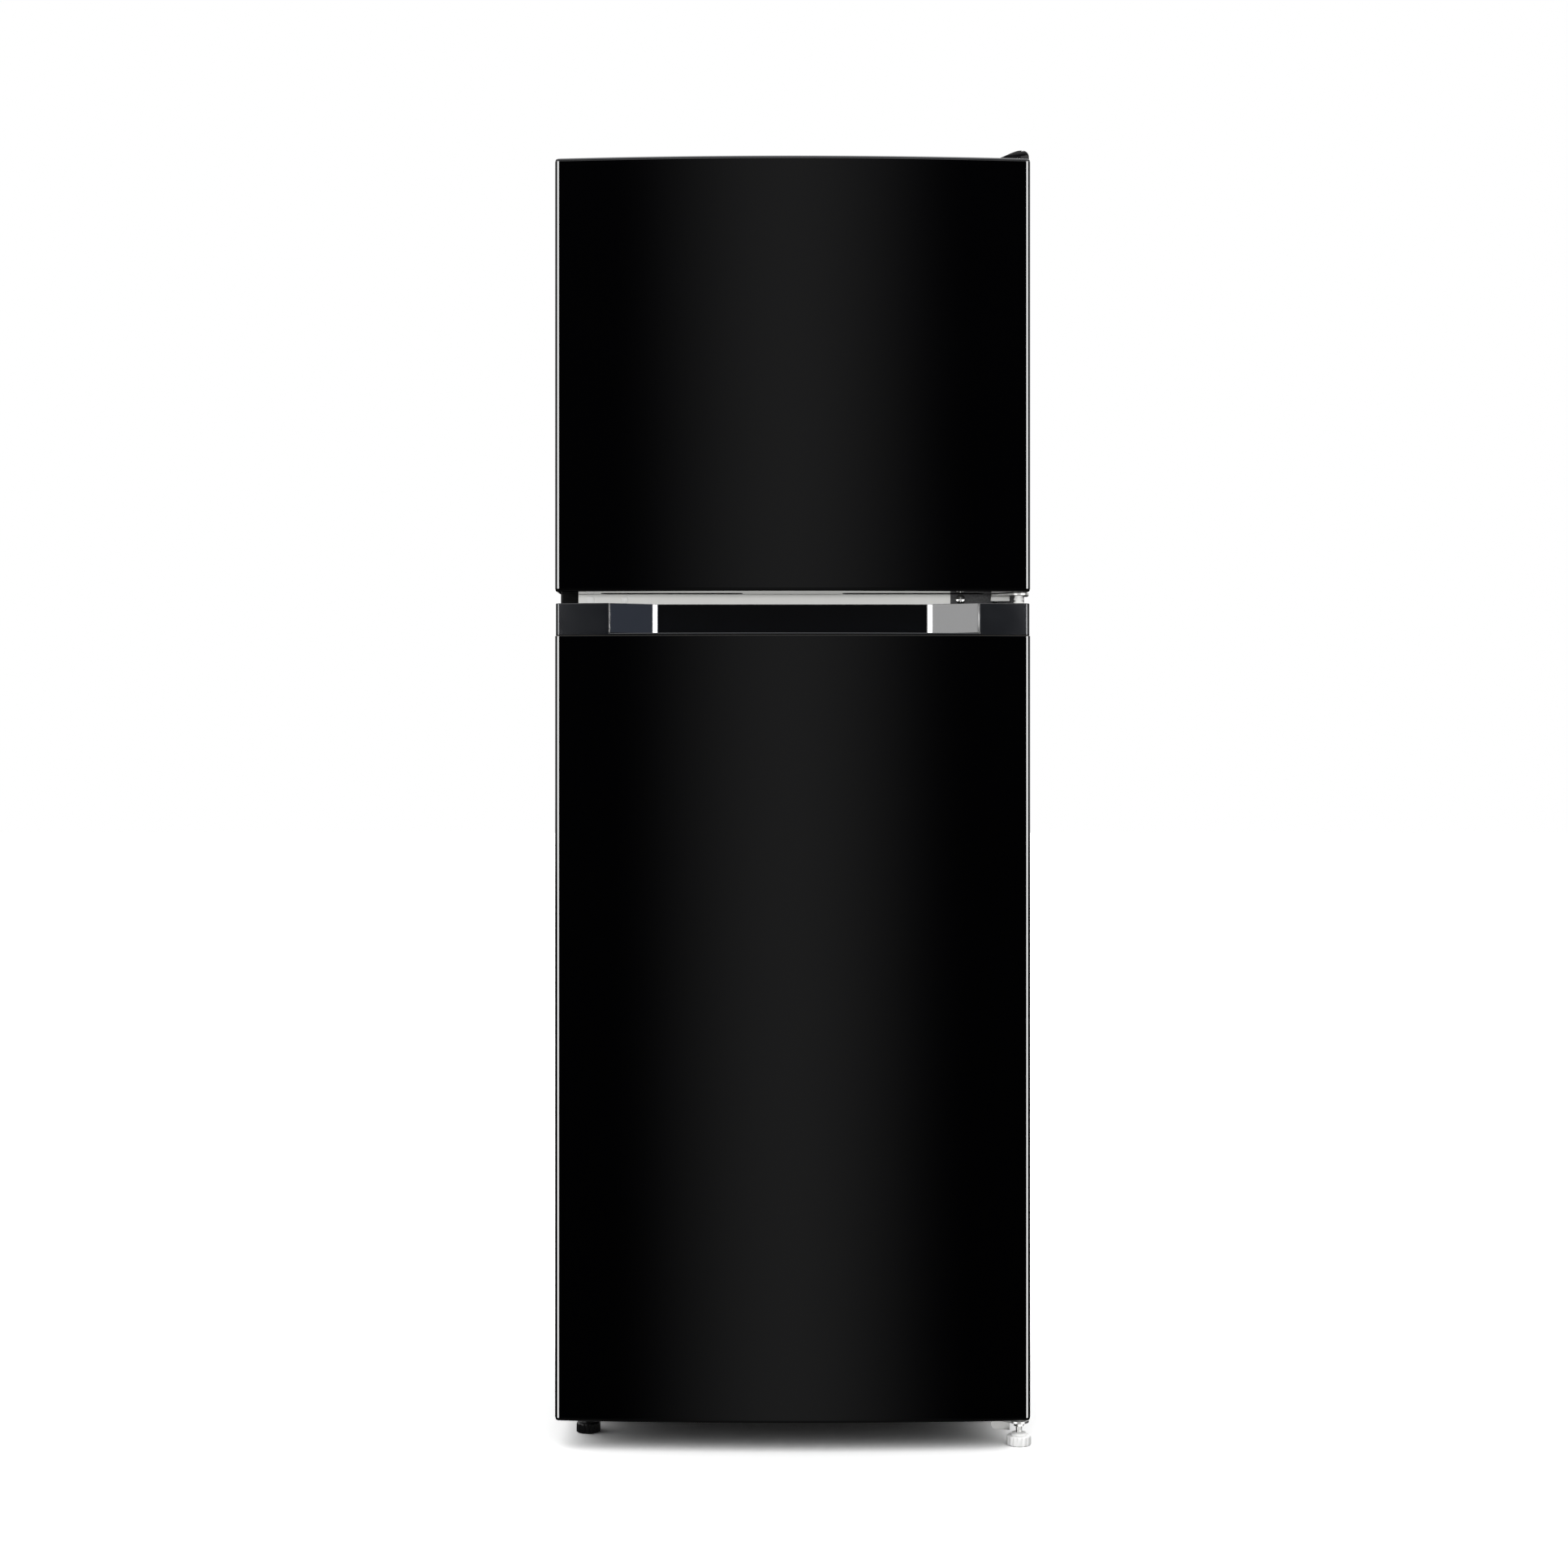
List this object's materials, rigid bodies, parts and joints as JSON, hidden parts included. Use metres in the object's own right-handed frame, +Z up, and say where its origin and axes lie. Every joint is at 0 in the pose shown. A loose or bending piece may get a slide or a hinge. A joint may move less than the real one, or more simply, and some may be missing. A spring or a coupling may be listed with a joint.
{
  "type": "top freezer refrigerator",
  "caption": "Black top freezer refrigerator with crowned gloss doors, a scooped handle trim, hinged doors, bins, shelves, a sliding crisper and a compressor bay.",
  "frame": {"origin": "on the floor under the middle of the refrigerator", "axes": "+Z up, -Y towards the doors' front, +X towards the hinge side"},
  "size_m": [0.598, 0.64, 1.6266],
  "materials": {
    "black_gloss": "high gloss",
    "black_trim": "high gloss",
    "black_cabinet": "satin, fine texture",
    "black_plastic": "satin",
    "white_liner": "semi gloss",
    "white_plastic": "semi gloss",
    "gasket": "matte",
    "foam": "matte",
    "zinc_steel": "zinc plated",
    "galvanised": "galvanised",
    "clear_plastic": "clear",
    "glass": "clear, polished",
    "compressor_black": "satin",
    "copper": "bare",
    "aluminium": "mill",
    "foot_white": "matte"
  },
  "bodies": {
    "cabinet": {"back_panel": "galvanised", "base_pan": "galvanised", "bottom_hinge_bracket": "zinc_steel", "cabinet_shell": "black_cabinet", "compressor": "compressor_black", "compressor_base": "galvanised", "control_housing": "white_plastic", "cord_gland": "black_plastic", "crisper_cover": "glass", "discharge_pipe": "copper", "drip_tray": "white_plastic", "evaporator": "aluminium", "fan_motor": "galvanised", "filter_drier": "copper", "freezer_air_cover": "white_plastic", "freezer_liner": "white_liner", "freezer_shelf": "glass", "fridge_air_duct": "white_plastic", "fridge_liner": "white_liner", "ice_tray": "white_plastic", "inner_hinge_screw": "zinc_steel", "inner_plug": "white_plastic", "insulation_foam": "foam", "lamp_lens": "clear_plastic", "lower_shelf": "glass", "mid_hinge_bracket": "zinc_steel", "mid_hinge_bush": "white_plastic", "mullion_rail": "white_liner", "outer_hinge_screw": "zinc_steel", "outer_plug": "white_plastic", "suction_pipe": "copper", "top_hinge_bracket": "zinc_steel", "top_hinge_cover": "black_plastic", "upper_shelf": "glass"},
    "freezer_door": {"freezer_door_skin": "black_gloss", "freezer_door_foam": "foam", "freezer_door_top_cap": "black_trim", "freezer_door_bottom_cap": "black_trim", "freezer_door_liner": "white_liner", "freezer_door_gasket": "gasket", "freezer_upper_bin": "white_plastic", "freezer_lower_bin": "white_plastic"},
    "fridge_door": {"fridge_door_skin": "black_gloss", "fridge_door_foam": "foam", "fridge_door_handle_trim": "black_trim", "handle_recess_insert": "black_trim", "fridge_door_bottom_cap": "black_trim", "fridge_door_liner": "white_liner", "fridge_door_gasket": "gasket", "upper_door_bin": "clear_plastic", "middle_door_bin": "clear_plastic", "bottle_bin": "clear_plastic"},
    "crisper": {"crisper_drawer": "clear_plastic"},
    "thermostat": {"thermostat_knob": "white_plastic"},
    "light_switch": {"light_switch_plunger": "white_plastic"},
    "right_foot_body": {"right_foot": "foot_white"},
    "left_foot_body": {"left_foot": "black_plastic"},
    "left_roller_body": {"left_roller": "black_plastic"},
    "right_roller_body": {"right_roller": "black_plastic"},
    "fan": {"evaporator_fan": "black_plastic"}
  },
  "joints": [
    {"name": "freezer_door_hinge", "type": "hinge", "parent": "cabinet", "child": "freezer_door", "pos_m": [0.285, -0.28, 1.0725], "axis": [0, 0, 1], "range_deg": [0, 125]},
    {"name": "fridge_door_hinge", "type": "hinge", "parent": "cabinet", "child": "fridge_door", "pos_m": [0.285, -0.28, 0.0357], "axis": [0, 0, 1], "range_deg": [0, 125]},
    {"name": "crisper_slide", "type": "slide", "parent": "cabinet", "child": "crisper", "axis": [0, -1, 0], "range_m": [0, 0.2]},
    {"name": "thermostat_turn", "type": "hinge", "parent": "cabinet", "child": "thermostat", "pos_m": [0.06, -0.1, 1.0075], "axis": [0, 1, 0], "range_deg": [0, 300]},
    {"name": "light_switch_press", "type": "slide", "parent": "cabinet", "child": "light_switch", "axis": [0, 1, 0], "range_m": [0, 0.004], "stiffness_N_per_m": 120},
    {"name": "right_foot_turn", "type": "hinge", "parent": "cabinet", "child": "right_foot_body", "pos_m": [0.285, -0.28, 0], "axis": [0, 0, 1], "continuous": true},
    {"name": "left_foot_turn", "type": "hinge", "parent": "cabinet", "child": "left_foot_body", "pos_m": [-0.262, -0.214, 0], "axis": [0, 0, 1], "continuous": true},
    {"name": "right_roller_spin", "type": "hinge", "parent": "cabinet", "child": "right_roller_body", "pos_m": [0.262, 0.262, 0.02], "axis": [1, 0, 0], "continuous": true},
    {"name": "left_roller_spin", "type": "hinge", "parent": "cabinet", "child": "left_roller_body", "pos_m": [-0.262, 0.262, 0.02], "axis": [1, 0, 0], "continuous": true},
    {"name": "evaporator_fan_spin", "type": "hinge", "parent": "cabinet", "child": "fan", "pos_m": [0, 0.2105, 1.462], "axis": [0, -1, 0], "continuous": true}
  ],
  "couplings": [
    {"joint": "crisper_slide", "follows": "fridge_door_hinge", "m_per_rad": 0.0916}
  ]
}
